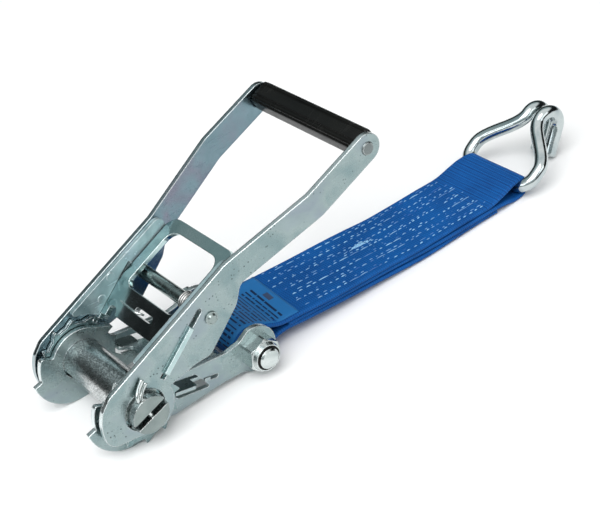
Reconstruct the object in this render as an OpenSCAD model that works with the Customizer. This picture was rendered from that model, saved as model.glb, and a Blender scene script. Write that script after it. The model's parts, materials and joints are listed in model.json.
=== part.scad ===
// Ratchet tie down for 50 mm webbing: frame, slotted drum, handle with a release lever,
// short fixed strap and a double claw hook.
// It lies on the frame's two rounded heels and on the far end of the strap, with the webbing along +X.

/* [Frame] */
// Clear width between the two frame plates
frame_inner_width = 53; // [52.6:0.2:54]
// Thickness of the frame plates, the arms and the release lever
plate_thickness = 3; // [2.8:0.1:3]
// Distance from the drum's axis to the end bolt
bolt_distance = 74.5; // [74:0.25:76]
// Radius of the frame's rounded heel, which stands on the ground
heel_radius = 24; // [23.8:0.1:25]
// Radius of the lug around the end bolt
lug_radius = 13.5; // [13:0.25:14]
// Nominal diameter of the end bolt
bolt_diameter = 12; // [11:0.5:12]

/* [Drum] */
// Radius of the drum, made of two half shafts
drum_radius = 12; // [11.5:0.1:12]
// Width of the slot that the free webbing goes through
drum_slot_width = 4; // [3.6:0.2:5]
// Angle of the drum's slot at rest
drum_slot_angle = 28; // [24:1:32]
// Tip radius of the ratchet wheels
wheel_tip_radius = 23; // [22.4:0.1:23]
// Root radius of the ratchet wheels
wheel_root_radius = 20.2; // [19.6:0.1:20.2]

/* [Handle] */
// Angle of the handle's long bars above the frame
bar_angle = 31; // [31:0.5:32]
// Width of the long bars
bar_width = 16.5; // [15.5:0.5:17]
// Distance of the hand grip along the bars
grip_reach = 174.6; // [170:0.2:185]
// How far each bar is joggled outwards
bar_flare = 11.8; // [10:0.2:13]
// Angle of the release lever above the frame
lever_angle = 49.5; // [49.5:0.1:50]

/* [Webbing] */
// Width of the webbing
webbing_width = 50; // [48:0.5:50]
// Thickness of the sewn layers together
strap_thickness = 8.5; // [8:0.1:8.6]

/* [Hook] */
// Diameter of the hook's wire
hook_wire = 8.5; // [8:0.25:9]
// Angle at which the hook's legs rise
hook_rise = 33; // [31:0.5:35]

/* [Hidden] */
$fn = 64;

zinc = "silver";
dark_zinc = "slategray";
webbing_blue = "royalblue";

// Levels across the width, from the middle outwards
frame_inside = frame_inner_width / 2;
frame_outside = frame_inside + plate_thickness;
side_gap = 0.5;
wheel_inside = frame_outside + side_gap;
wheel_thickness = 3;
wheel_outside = wheel_inside + wheel_thickness;
arm_inside = wheel_outside + side_gap;
arm_outside = arm_inside + plate_thickness;
doubler_inside = arm_inside - 0.1 - plate_thickness;
drum_half_length = arm_outside + 6;

// Fits
running_gap = 0.06;
press_gap = 0.03;
sliding_gap = 0.2;

// Frame plate
bolt_centre = [bolt_distance, 1.5];
heel_centre = [-6.8, 0];
stop_rim_radius = 26;
cam_low_radius = 18.5;
cam_high_radius = 20;
notch_floor_radius = 19.4;
cam_tooth_radius = 23.6;

// Lock pawl, which slides along a line through the drum's axis
pawl_angle = -5;
pawl_thickness = 2;
pawl_tip_radius = 20.6;
pawl_tail_radius = 45;

// Handle
bar_offset = 18;
bar_tip_radius = bar_width / 2;
arm_nose_radius = 25.5;
arm_heel_radius = 17.5;
flare_start = 80;
flare_end = 134;
lever_slot_start = 18;
lever_slot_end = 57;
cross_rod_centre = [44, 36.9];
cross_rod_radius = 4;
grip_rod_radius = 3.2;
tenon_radius = 3;

// How the frame stands: the heels and the strap's bail share the ground
ground_tilt = 8.48;
drum_height = heel_radius + heel_centre.x * sin(ground_tilt);
centre_x = 153.2;

// The strap's middle line, over the ground and measured from the drum's axis
strap_eye = [bolt_centre.x * cos(ground_tilt) + bolt_centre.y * sin(ground_tilt),
    drum_height - bolt_centre.x * sin(ground_tilt) + bolt_centre.y * cos(ground_tilt)];
sleeve_radius = 8;
eye_inner_radius = sleeve_radius + 0.4;
eye_outer_radius = 12.2;
strap_flex = [196, 4.9];
flex_gap = 0.3;
bail_centre = [281, 7.1];
bail_eye_gap = 0.35;
bail_eye_outer = bail_centre.y;
bail_eye_half = 18.5;
label_end = 39;
label_thickness = 0.6;

// Hook
hook_wire_radius = hook_wire / 2;
bail_half_width = 27.4;
prong_half_gap = 5.2;
leg_length = 44.4;
crown_radius = 9.4;
crown_start = 90 + hook_rise;
crown_end = -27;
tip_height = 2.4;

// ---------- helpers ----------

// A point on a circle about the drum's axis, or about another centre
function polar(radius, angle, centre = [0, 0]) = centre + radius * [cos(angle), sin(angle)];

// Points along an arc, one every few degrees
function arc(radius, from, to, centre = [0, 0], step = 6) =
    let (count = ceil(abs(to - from) / step))
    [for (i = [0:count]) polar(radius, from + (to - from) * i / count, centre)];

// Corners that stay sharp, in the form that rounded() takes
function sharp(points) = [for (p = points) [p.x, p.y, 0]];

function unit(v) = v / norm(v);

// The arc of a given radius that rounds the corner at "corner"
function fillet(before, corner, after, radius, steps) =
    let (
        u = unit(before - corner),
        v = unit(after - corner),
        half = acos(u * v) / 2,
        centre = corner + unit(u + v) * radius / sin(half),
        first = corner + u * radius / tan(half) - centre,
        last = corner + v * radius / tan(half) - centre,
        from = atan2(first.y, first.x),
        turn = atan2(last.y, last.x) - from,
        sweep = turn > 180 ? turn - 360 : turn < -180 ? turn + 360 : turn
    )
    [for (i = [0:steps]) polar(radius, from + sweep * i / steps, centre)];

// A closed outline from corners [x, z, radius]
function rounded(corners, steps = 6) =
    let (count = len(corners))
    [for (i = [0:count - 1])
        let (
            c = corners[i],
            p = corners[(i + count - 1) % count],
            n = corners[(i + 1) % count]
        )
        each c.z == 0 ? [[c.x, c.y]] : fillet([p.x, p.y], [c.x, c.y], [n.x, n.y], c.z, steps)];

// A point of the handle's bars: distance along them, and height above the drum's axis
function bar_point(along, above) = [
    along * cos(bar_angle) - above * sin(bar_angle),
    along * sin(bar_angle) + above * cos(bar_angle)
];

function bar_corner(along, above, radius) = let (p = bar_point(along, above)) [p.x, p.y, radius];

// From the drum's own frame, whose X axis points at the bolt, to the standing position
module drum_frame() {
    translate([-centre_x, 0, drum_height]) rotate([0, ground_tilt, 0]) children();
}

module standing_frame() {
    translate([-centre_x, 0, 0]) children();
}

// A 2D outline in X and Z, made solid from y_low upwards
module slab(y_low, thickness) {
    translate([0, y_low + thickness, 0]) rotate([90, 0, 0]) linear_extrude(thickness) children();
}

// The same slab on the left side (side = 1) or on the right side (side = -1)
module side_slab(side, inside, thickness) {
    slab(side > 0 ? inside : -inside - thickness, thickness) children();
}

// A round bar along Y between two levels
module cross_bar(centre, radius, y_low, y_high) {
    translate([centre.x, y_high, centre.y]) rotate([90, 0, 0]) cylinder(h = y_high - y_low, r = radius);
}

// Along a line through the drum's axis: X runs outwards, Y across the width
module radial_frame(angle) {
    rotate([0, -angle, 0]) children();
}

// A round-ended slot along a radius
module radial_slot(angle, start, end, half_width) {
    rotate(angle) {
        translate([start, -half_width]) square([end - start, 2 * half_width]);
        translate([end, 0]) circle(r = half_width);
    }
}

// ---------- frame ----------

frame_outline = rounded(concat(
    sharp(arc(stop_rim_radius, 162, 190)),
    sharp(arc(heel_radius, 195.4, 312, heel_centre)),
    [[13.8, -15.6, 5], [21, -16.6, 6], [52.5, -10.6, 14], [64.5, -9.8, 4]],
    sharp(arc(lug_radius, -122, 108, bolt_centre)),
    [[64.5, 9.3, 6], [56, 6.7, 10], [21.3, 6.4, 1.5]],
    sharp(arc(notch_floor_radius, 22, 30.3)),
    sharp(arc(cam_tooth_radius, 31.4, 34)),
    [[polar(cam_high_radius, 48).x, polar(cam_high_radius, 48).y, 3]],
    sharp(arc(cam_low_radius, 62, 152)),
    [[-17.2, 7.0, 1.2], [-23.6, 9.3, 1.2]]
));

// Opening that the lock pawl's ears pass through, and the slot that guides its tail
window_outline = rounded([[20.6, 3.4, 0.8], [35.6, 2.2, 1.2], [44.4, -9, 1], [24.1, -7.8, 1.5], [19.7, -4.4, 1]]);

module frame_plate(side) {
    drum_frame() side_slab(side, frame_inside, plate_thickness) difference() {
        polygon(frame_outline);
        circle(r = drum_radius + running_gap);
        polygon(window_outline);
        rotate(pawl_angle) translate([40.3, -pawl_thickness / 2 - 0.15]) square([9.3, pawl_thickness + 0.3]);
        translate(bolt_centre) circle(r = bolt_diameter / 2 + press_gap);
    }
}

module frame_plate_left() {
    color(zinc) frame_plate(1);
}

module frame_plate_right() {
    color(zinc) frame_plate(-1);
}

cross_plate_radius = 55.5;
cross_plate_thickness = 2.5;
cross_plate_height = 12;

// Plate across the frame that the lock pawl's spring pushes against
module cross_plate() {
    color(dark_zinc) drum_frame() radial_frame(pawl_angle)
        translate([cross_plate_radius, -frame_inside, -cross_plate_height / 2])
        cube([cross_plate_thickness, 2 * frame_inside, cross_plate_height]);
}

nut_height = 9.5;
nut_collar = 2.5;
head_height = 7.5;
flats = 18;

// Hexagon with a flat facing the handle's arm when it is closed
module hexagon_bar(y_low, height, across_flats) {
    slab(y_low, height) intersection() {
        rotate(30) circle(r = across_flats / sqrt(3), $fn = 6);
        circle(r = across_flats / sqrt(3) - 0.35);
    }
}

// The hexagon's end corners, turned down to a cone
module chamfer_cone(y_base, direction, height) {
    translate([0, y_base, 0]) rotate([-90 * direction, 0, 0])
        cylinder(h = height, r1 = flats / sqrt(3) + height - 1.2, r2 = flats / sqrt(3) - 1.2);
}

module end_bolt() {
    color(zinc) drum_frame() translate([bolt_centre.x, 0, bolt_centre.y]) {
        intersection() {
            hexagon_bar(frame_outside, head_height, flats);
            chamfer_cone(frame_outside, 1, head_height);
        }
        cross_bar([0, 0], bolt_diameter / 2, -frame_outside - nut_height - nut_collar - 1, frame_outside);
        translate([0, -frame_outside - nut_height - nut_collar - 1, 0]) rotate([90, 0, 0])
            cylinder(h = 1, r1 = bolt_diameter / 2, r2 = bolt_diameter / 2 - 1);
    }
}

module lock_nut() {
    collar_end = frame_outside + nut_height + nut_collar;
    color(zinc) drum_frame() translate([bolt_centre.x, 0, bolt_centre.y]) difference() {
        union() {
            intersection() {
                hexagon_bar(-frame_outside - nut_height, nut_height, flats);
                chamfer_cone(-frame_outside, -1, nut_height);
            }
            translate([0, -frame_outside - nut_height, 0]) rotate([90, 0, 0])
                cylinder(h = nut_collar, r1 = flats / 2 - 0.4, r2 = flats / 2 - 1.3);
        }
        cross_bar([0, 0], bolt_diameter / 2 + press_gap, -collar_end - 1, 0);
        cross_bar([0, 0], bolt_diameter / 2 + 1.2, -collar_end - 1, -collar_end + 2);
    }
}

// Nylon ring held in the nut's collar
module nut_insert() {
    collar_end = frame_outside + nut_height + nut_collar;
    color("dimgray") drum_frame() translate([bolt_centre.x, 0, bolt_centre.y]) difference() {
        cross_bar([0, 0], bolt_diameter / 2 + 1.2 - press_gap, -collar_end + 0.3, -collar_end + 2 - press_gap);
        cross_bar([0, 0], bolt_diameter / 2 + press_gap, -collar_end - 1, 0);
    }
}

// Tube on the bolt that the strap's eye turns on
module bolt_sleeve() {
    color(zinc) drum_frame() translate([bolt_centre.x, 0, bolt_centre.y]) difference() {
        cross_bar([0, 0], sleeve_radius, -frame_inside + 0.1, frame_inside - 0.1);
        cross_bar([0, 0], bolt_diameter / 2 + press_gap, -frame_inside - 1, frame_inside + 1);
    }
}

// ---------- springs ----------

// One ring of a coil's wire: its section, square to the helix at this angle
function coil_ring(coil_radius, wire_radius, pitch, angle, sides) = [for (k = [0:sides - 1])
    let (section = 360 * k / sides)
    [(coil_radius + wire_radius * cos(section)) * cos(angle),
        (coil_radius + wire_radius * cos(section)) * sin(angle),
        pitch * angle / 360 + wire_radius * sin(section)]];

// Faces that join rings of equal size, with flat ends
function tube_faces(rings, sides) = concat(
    [[for (k = [0:sides - 1]) k]],
    [for (i = [0:rings - 2], k = [0:sides - 1])
        [i * sides + k, (i + 1) * sides + k, (i + 1) * sides + (k + 1) % sides, i * sides + (k + 1) % sides]],
    [[for (k = [sides - 1:-1:0]) (rings - 1) * sides + k]]
);

// A helical spring along Z
module coil(coil_radius, wire_radius, pitch, turns) {
    sides = 6;
    rings = turns * 16;
    points = [for (i = [0:rings]) each coil_ring(coil_radius, wire_radius, pitch, 360 * i / 16, sides)];
    polyhedron(points, tube_faces(rings + 1, sides), convexity = 8);
}

lock_spring_radius = 3.6;
lock_wire_radius = 0.55;

module lock_spring() {
    turns = 5;
    length = cross_plate_radius - pawl_tail_radius - 2 * lock_wire_radius - 0.2;
    color("gray") drum_frame() radial_frame(pawl_angle)
        translate([pawl_tail_radius + lock_wire_radius + 0.1, 0, 0]) rotate([0, 90, 0])
        coil(lock_spring_radius, lock_wire_radius, length / turns, turns);
}

lever_wire_radius = 0.75;
lever_spring_turns = 5;
lever_spring_start = -13;

// Torsion spring around the cross rod, which pulls the release lever towards the drum
module lever_spring() {
    pitch = 2 * lever_wire_radius + 0.1;
    color("gray") drum_frame() translate([cross_rod_centre.x, lever_spring_start, cross_rod_centre.y])
        rotate([90, 0, 0]) coil(cross_rod_radius + lever_wire_radius + 0.1, lever_wire_radius, pitch, lever_spring_turns);
}

// ---------- drum ----------

half_shaft_flat = 11.4;
half_shaft_corner = 2.2;
drum_end_radius = drum_radius - 1.3;
drum_shoulder = arm_outside - 1.4;
split_pin_level = arm_outside + 3.6;
split_pin_radius = 1.4;

// Section of one half shaft, with its rounded long edges
module half_moon(grow = 0) {
    low = drum_slot_width / 2 - grow;
    side = half_shaft_flat + grow;
    intersection() {
        circle(r = drum_radius + grow);
        polygon(rounded([[side, low, half_shaft_corner], [side, 14, 0], [-side, 14, 0],
            [-side, low, half_shaft_corner]]));
    }
}

module pin_holes() {
    for (side = [-1, 1])
        translate([0, side * split_pin_level, 0]) rotate([0, -drum_slot_angle, 0])
            translate([0, 0, -20]) cylinder(h = 40, r = split_pin_radius + 0.1);
}

module half_shaft(turn) {
    drum_frame() difference() {
        slab(-drum_half_length, 2 * drum_half_length) rotate(drum_slot_angle + turn) half_moon();
        pin_holes();
        for (side = [-1, 1])
            side_slab(side, drum_shoulder, 2 * drum_half_length) difference() {
                circle(r = 2 * drum_radius);
                circle(r = drum_end_radius);
            }
    }
}

module half_shaft_upper() {
    color("gainsboro") half_shaft(0);
}

module half_shaft_lower() {
    color("gainsboro") half_shaft(180);
}

tooth_count = 12;
tooth_pitch = 360 / tooth_count;
tooth_phase = 0.5;

// Ratchet teeth: a steep face, a short tip and a long sloping back
wheel_outline = [for (k = [0:tooth_count - 1])
    let (steep = tooth_phase + k * tooth_pitch)
    each [
        polar(wheel_root_radius, steep - 9),
        polar(wheel_root_radius, steep - 1),
        polar(wheel_tip_radius, steep + 0.8),
        polar(wheel_tip_radius, steep + 3),
        polar((wheel_tip_radius + wheel_root_radius) / 2, steep + 9),
        polar(wheel_root_radius, steep + 14)
    ]];

module ratchet_wheel(side) {
    lamination_groove = 0.15;
    drum_frame() difference() {
        side_slab(side, wheel_inside, wheel_thickness) difference() {
            polygon(wheel_outline);
            for (turn = [0, 180])
                rotate(drum_slot_angle + turn) half_moon(press_gap);
        }
        side_slab(side, wheel_inside + (wheel_thickness - lamination_groove) / 2, lamination_groove) difference() {
            circle(r = wheel_tip_radius + 1);
            circle(r = wheel_root_radius - 1);
        }
    }
}

module ratchet_wheel_left() {
    color(zinc) ratchet_wheel(1);
}

module ratchet_wheel_right() {
    color(zinc) ratchet_wheel(-1);
}

// Cotter through both half shafts: a ring at one end, two legs at the other
module split_pin(side) {
    ring_radius = 1.9;
    ring_reach = 15.2;
    leg_reach = 17.5;
    drum_frame() translate([0, side * split_pin_level, 0]) rotate([0, -drum_slot_angle, 0]) {
        difference() {
            translate([0, 0, -ring_reach + ring_radius]) cylinder(h = leg_reach + ring_reach - ring_radius,
                r = split_pin_radius);
            translate([-0.15, -3, drum_radius - 2]) cube([0.3, 6, 10]);
            translate([0, 3, -ring_reach]) rotate([90, 0, 0]) cylinder(h = 6, r = ring_radius - 0.7);
        }
        translate([0, 0, -ring_reach]) rotate([90, 0, 0])
            rotate_extrude() translate([ring_radius, 0]) circle(r = 0.7);
    }
}

module split_pin_left() {
    color(zinc) split_pin(1);
}

module split_pin_right() {
    color(zinc) split_pin(-1);
}

// ---------- handle ----------

grip_centre = bar_point(grip_reach, bar_offset);

arm_outline = rounded(concat(
    sharp(arc(arm_nose_radius, 160, 192)),
    [[-22.8, -14.3, 8]],
    sharp(arc(arm_heel_radius, -55, 26)),
    [[31.7, 13.6, 12], [42, 15.4, 6], [60, 38.2, 8],
        bar_corner(flare_start, bar_offset - bar_width / 2, 7)],
    sharp(arc(bar_tip_radius, bar_angle - 90, bar_angle + 90, grip_centre)),
    [bar_corner(flare_start, bar_offset + bar_width / 2, 60), bar_corner(-9, 23.2, 8)]
));

// The arm seen from above its long edge: distance along the bar, and level across the width
function arm_path(end_reach) = let (
        bend = atan2(bar_flare, flare_end - flare_start),
        shift = plate_thickness * tan(bend / 2),
        tip_inside = arm_inside + bar_flare
    )
    rounded([
        [-40, arm_inside, 0],
        [flare_start, arm_inside, 12],
        [flare_end, tip_inside, 10],
        [end_reach, tip_inside, 0],
        [end_reach, tip_inside + plate_thickness, 0],
        [flare_end - shift, tip_inside + plate_thickness, 13],
        [flare_start - shift, arm_outside, 9],
        [-40, arm_outside, 0]
    ]);

module handle_arm(side) {
    end_reach = grip_reach + bar_width;
    drum_frame() difference() {
        intersection() {
            side_slab(side, arm_inside - 1, bar_flare + plate_thickness + 2) polygon(arm_outline);
            radial_frame(bar_angle) mirror([0, side > 0 ? 0 : 1, 0])
                translate([0, 0, -80]) linear_extrude(140) polygon(arm_path(end_reach));
        }
        side_slab(side, arm_inside - 2, 30) {
            circle(r = drum_radius + running_gap);
            radial_slot(lever_angle, lever_slot_start, lever_slot_end, plate_thickness / 2 + sliding_gap);
            translate(cross_rod_centre) circle(r = tenon_radius + press_gap);
            translate(grip_centre) circle(r = grip_rod_radius + press_gap);
        }
    }
}

module handle_arm_left() {
    color(zinc) handle_arm(1);
}

module handle_arm_right() {
    color(zinc) handle_arm(-1);
}

doubler_reach = 24.6;

doubler_outline = rounded(concat(
    sharp(arc(doubler_reach, 88, 38)),
    [[39.6, 39.9, 2], [42.4, 41.9, 2], bar_corner(64, 16.2, 4), bar_corner(82.5, 15.8, 4.2),
        bar_corner(84.5, 25.4, 4.2), bar_corner(12, 23.6, 1.5)]
));

// Plate inside each arm that stiffens it beside the release lever
module doubler(side) {
    dimple_radius = 2.4;
    dimple_height = 0.6;
    drum_frame() {
        difference() {
            side_slab(side, doubler_inside, plate_thickness) polygon(doubler_outline);
            side_slab(side, doubler_inside - 1, plate_thickness + 2)
                radial_slot(lever_angle, lever_slot_start, lever_slot_end, plate_thickness / 2 + sliding_gap);
        }
        for (reach = [34, 47])
            side_slab(side, doubler_inside - dimple_height, dimple_height + 0.5)
                translate(polar(reach, lever_angle + 9)) circle(r = dimple_radius);
    }
}

module doubler_left() {
    color(zinc) doubler(1);
}

module doubler_right() {
    color(zinc) doubler(-1);
}

rivet_head_radius = 3.8;
rivet_head_height = 1.9;

// Rod that ties the two arms together below the release lever, riveted at both ends
module cross_rod() {
    color("gainsboro") drum_frame() translate([cross_rod_centre.x, 0, cross_rod_centre.y]) {
        cross_bar([0, 0], cross_rod_radius, -arm_inside, arm_inside);
        cross_bar([0, 0], tenon_radius, -arm_outside - 0.5, arm_outside + 0.5);
        for (side = [-1, 1])
            translate([0, side * arm_outside, 0]) rotate([-90 * side, 0, 0]) {
                cylinder(h = 0.8, r = rivet_head_radius);
                translate([0, 0, 0.8])
                    cylinder(h = rivet_head_height - 0.8, r1 = rivet_head_radius - 0.8, r2 = rivet_head_radius - 1.8);
            }
    }
}

grip_length = 2 * (arm_inside + bar_flare) - 0.6;

// Section of the hand grip, about its rod
grip_outline = rounded([[8.6, -6.1, 4.2], [8.6, 6.7, 4.2], [-6, 6.7, 4.2], [-6, -6.1, 4.2]]);

module hand_grip() {
    color("black") drum_frame() translate([grip_centre.x, 0, grip_centre.y])
        slab(-grip_length / 2, grip_length) difference() {
            rotate(bar_angle) polygon(grip_outline);
            circle(r = grip_rod_radius + 0.1);
        }
}

module grip_rod() {
    arm_tip_outside = arm_outside + bar_flare;
    head_radius = 3.9;
    color(zinc) drum_frame() translate([grip_centre.x, 0, grip_centre.y]) {
        cross_bar([0, 0], grip_rod_radius, -arm_tip_outside, arm_tip_outside);
        for (side = [-1, 1])
            translate([0, side * arm_tip_outside, 0]) rotate([-90 * side, 0, 0])
                cylinder(h = 0.9, r1 = head_radius, r2 = head_radius - 0.6);
    }
}

// ---------- release lever and lock pawl ----------

lever_half_width = doubler_inside - 0.4;
lever_fold_distance = 50.5;
lever_fold_angle = 16.5;
lever_top = 90.8;
lever_window_low = 47;
lever_window_high = 84.2;
lever_window_half = 22.4;
lever_tooth_start = 23.3;
lever_follower_start = 26.6;
lever_lug_start = 20.9;
lever_lug_end = 48.2;
lever_lug_level = arm_outside + 1.8;

// One half of the release lever: distance from the drum's axis, and level across the width
lever_half = [
    [29.5, 0, 0],
    [29.5, 18.6, 1],
    [33.6, 20.2, 2.4],
    [33.6, 26, 2.4],
    [lever_follower_start, 26, 0.8],
    [lever_follower_start, wheel_inside - 0.25, 0],
    [lever_tooth_start, wheel_inside - 0.25, 0],
    [lever_tooth_start, wheel_outside + 0.2, 0],
    [lever_lug_start, wheel_outside + 0.2, 0],
    [lever_lug_start, lever_lug_level, 1],
    [lever_lug_end, lever_lug_level, 1],
    [lever_lug_end, lever_half_width, 0.8],
    [lever_top, lever_half_width, 8]
];

function mirrored(corners) = [for (i = [len(corners) - 1:-1:1]) [corners[i].x, -corners[i].y, corners[i].z]];

// Outline of the release lever, seen square on to its lower web
module lever_outline() {
    mid_slot_length = 16;
    mid_slot_half = 1.9;
    difference() {
        polygon(rounded(concat(lever_half, mirrored(lever_half))));
        polygon(rounded([
            [lever_window_low, -lever_window_half, 4.5],
            [lever_window_high, -lever_window_half, 7],
            [lever_window_high, lever_window_half, 7],
            [lever_window_low, lever_window_half, 4.5]
        ]));
        translate([39, -2]) {
            square([2 * mid_slot_half, mid_slot_length - 2 * mid_slot_half], center = true);
            for (end = [-1, 1])
                translate([0, end * (mid_slot_length / 2 - mid_slot_half)]) circle(r = mid_slot_half);
        }
    }
}

// The lever's sheet seen from its side: distance along the web, and level over the web's middle
function lever_path(reach) = let (
        half = plate_thickness / 2,
        shift = half * tan(lever_fold_angle / 2),
        ahead = reach * [cos(lever_fold_angle), -sin(lever_fold_angle)]
    )
    rounded([
        [0, -half, 0],
        [lever_fold_distance - shift, -half, 4],
        [lever_fold_distance - shift + ahead.x, ahead.y - half, 0],
        [lever_fold_distance + shift + ahead.x, ahead.y + half, 0],
        [lever_fold_distance + shift, half, 7],
        [0, half, 0]
    ]);

module release_lever() {
    path_reach = 60;
    color(dark_zinc) drum_frame() radial_frame(lever_angle) intersection() {
        translate([0, 0, -40]) linear_extrude(60) lever_outline();
        rotate([90, 0, 0]) translate([0, 0, -45]) linear_extrude(90) polygon(lever_path(path_reach));
    }
}

// One half of the lock pawl, in the same measures
pawl_half = [
    [28, 0, 0],
    [28, frame_inside - 5, 2],
    [22, frame_inside - 2, 2],
    [21.2, frame_inside - 1.2, 0],
    [21.2, wheel_inside - 0.25, 0],
    [pawl_tip_radius, wheel_inside - 0.25, 0],
    [pawl_tip_radius, wheel_outside + 0.2, 0],
    [34, wheel_outside + 0.2, 1.5],
    [34, frame_inside - 0.3, 0],
    [41.2, frame_inside - 0.3, 0],
    [41.2, frame_outside + 0.4, 0],
    [pawl_tail_radius, frame_outside + 0.4, 0.8],
    [pawl_tail_radius, 0, 0]
];

// Sliding plate that holds the ratchet wheels, with a finger tab standing on it
module lock_pawl() {
    tab_half_width = 9;
    tab_height = 11;
    tab_thickness = 2;
    color(dark_zinc) drum_frame() radial_frame(pawl_angle) {
        translate([0, 0, -pawl_thickness / 2]) linear_extrude(pawl_thickness)
            polygon(rounded(concat(pawl_half, mirrored(pawl_half))));
        difference() {
            translate([30, 0, 0]) rotate([90, 0, 90]) linear_extrude(tab_thickness)
                polygon(rounded([[-tab_half_width, 0, 0], [tab_half_width, 0, 0],
                    [tab_half_width, tab_height, 3], [-tab_half_width, tab_height, 3]]));
            translate([29, 0, tab_height - 4.5]) rotate([0, 90, 0]) cylinder(h = 4, r = 2.2);
        }
    }
}

// ---------- strap ----------

strap_half = webbing_width / 2;
flex_direction = unit(strap_flex - strap_eye);
flex_normal = [-flex_direction.y, flex_direction.x];
strap_ground = strap_thickness / 2 + 0.1;
strap_level = [bail_centre.x - 17, strap_ground];
level_direction = unit(strap_level - strap_flex);
level_normal = [-level_direction.y, level_direction.x];

// Where the eye about the sleeve narrows to the strap
eye_root = 6;
eye_root_half = 10.6;
eye_shoulder = 20;

// A point of the near link: distance from the bolt along the strap, and height off its middle line
function strap_point(along, above) = strap_eye + flex_direction * along + flex_normal * above;

// The sewn eye about the bolt's sleeve and the strap up to the flex line
module strap_near() {
    half = strap_thickness / 2;
    color(webbing_blue) standing_frame() slab(-strap_half, webbing_width) difference() {
        union() {
            translate(strap_eye) circle(r = eye_outer_radius);
            polygon([
                strap_point(eye_root, -eye_root_half),
                strap_point(eye_shoulder, -half),
                strap_flex - flex_normal * half,
                strap_flex + flex_normal * half,
                strap_point(eye_shoulder, half),
                strap_point(eye_root, eye_root_half)
            ]);
        }
        translate(strap_eye) circle(r = eye_inner_radius);
        translate(strap_flex) circle(r = half + flex_gap);
    }
}

// Woven label sewn on top of the strap, from the eye's shoulder outwards
module strap_label() {
    half = strap_thickness / 2;
    top = half + label_thickness;
    slope = (eye_root_half - half) / (eye_shoulder - eye_root);
    start = eye_root + 2;
    start_level = half + slope * (eye_shoulder - start);
    color("steelblue") standing_frame() slab(-strap_half + 0.5, webbing_width - 1) polygon([
        strap_point(start, start_level),
        strap_point(eye_shoulder, half),
        strap_point(label_end, half),
        strap_point(label_end, top),
        strap_point(eye_shoulder, top),
        strap_point(start, start_level + label_thickness)
    ]);
}

// How far from the bail the strap's full width ends, at its lower and its upper face
far_end_low = 7.6;
far_end_high = 6.4;

// The strap from its round end at the flex line to the eye about the hook's bail
module strap_far() {
    half = strap_thickness / 2;
    bail_eye_inner = hook_wire_radius + bail_eye_gap;
    color(webbing_blue) standing_frame() {
        slab(-bail_eye_half, 2 * bail_eye_half) difference() {
            union() {
                translate(bail_centre) circle(r = bail_eye_outer);
                translate([bail_centre.x - far_end_low - 1, 0.1]) square([far_end_low + 1, bail_eye_outer - 1]);
            }
            translate(bail_centre) circle(r = bail_eye_inner);
        }
        slab(-strap_half, webbing_width) {
            translate(strap_flex) circle(r = half);
            polygon([
                strap_flex - level_normal * half,
                strap_level - [0, half],
                [bail_centre.x - far_end_low, 0.1],
                [bail_centre.x - far_end_high, 2 * half],
                strap_level + [0, half],
                strap_flex + level_normal * half
            ]);
        }
    }
}

// ---------- hook ----------

// Half of the hook's wire runs from the bail's middle along the bail, up a leg, over the crown and down to a tip
bail_corner = 9.5;
leg_direction = [cos(hook_rise), sin(hook_rise)];
leg_normal = [sin(hook_rise), -cos(hook_rise)];
crown_centre = bail_centre + leg_direction * leg_length + leg_normal * crown_radius;
crown_last = polar(crown_radius, crown_end, crown_centre);
prong_direction = [sin(crown_end), -cos(crown_end)];
prong_length = (crown_last.y - tip_height) / cos(crown_end);

// A point of a leg, at a distance from the bail
function leg_point(along, level) = let (p = bail_centre + leg_direction * along) [p.x, level, p.y];

// The level of the leg: beside the webbing at first, then gathering towards its neighbour
function leg_level(along) = let (
        start = bail_corner + 0.11 * (leg_length - bail_corner),
        share = min(1, max(0, (along - start) / (leg_length - start))),
        ease = share * share * (3 - 2 * share)
    )
    bail_half_width + (prong_half_gap - bail_half_width) * ease;

half_hook = concat(
    [for (level = [0, 6, 12]) [bail_centre.x, level, bail_centre.y]],
    [for (turn = [0:15:90]) leg_point(bail_corner * (1 - cos(turn)),
        bail_half_width - bail_corner * (1 - sin(turn)))],
    [for (share = [0.1:0.1:0.95])
        let (along = bail_corner + (leg_length - bail_corner) * share)
        leg_point(along, leg_level(along))],
    [for (step = [0:10])
        let (p = polar(crown_radius, crown_start + (crown_end - crown_start) * step / 10, crown_centre))
        [p.x, prong_half_gap, p.y]],
    [for (share = [0.5, 1])
        let (p = crown_last + share * prong_length * prong_direction)
        [p.x, prong_half_gap, p.y]]
);

hook_route = concat(
    [for (i = [len(half_hook) - 1:-1:1]) [half_hook[i].x, -half_hook[i].y, half_hook[i].z]],
    half_hook
);

// Direction of the route at a point
function heading(route, i) = unit(route[min(i + 1, len(route) - 1)] - route[max(i - 1, 0)]);

// Side vectors along the route, each the last one turned as little as possible
function side_vectors(route, i = 0, last = [0, 0, 1]) =
    let (
        h = heading(route, i),
        here = unit(last - (last * h) * h)
    )
    i == len(route) - 1 ? [here] : concat([here], side_vectors(route, i + 1, here));

module swept_wire(route, radius, sides) {
    vectors = side_vectors(route);
    points = [for (i = [0:len(route) - 1], k = [0:sides - 1])
        route[i] + radius * (cos(360 * k / sides) * vectors[i]
            + sin(360 * k / sides) * cross(heading(route, i), vectors[i]))];
    polyhedron(points, tube_faces(len(route), sides), convexity = 6);
}

module claw_hook() {
    color(zinc) standing_frame() swept_wire(hook_route, hook_wire_radius, 16);
}

frame_plate_left();
frame_plate_right();
cross_plate();
end_bolt();
lock_nut();
nut_insert();
bolt_sleeve();
lock_spring();
half_shaft_upper();
half_shaft_lower();
ratchet_wheel_left();
ratchet_wheel_right();
split_pin_left();
split_pin_right();
handle_arm_left();
handle_arm_right();
doubler_left();
doubler_right();
cross_rod();
hand_grip();
grip_rod();
lever_spring();
release_lever();
lock_pawl();
strap_near();
strap_label();
strap_far();
claw_hook();
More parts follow.
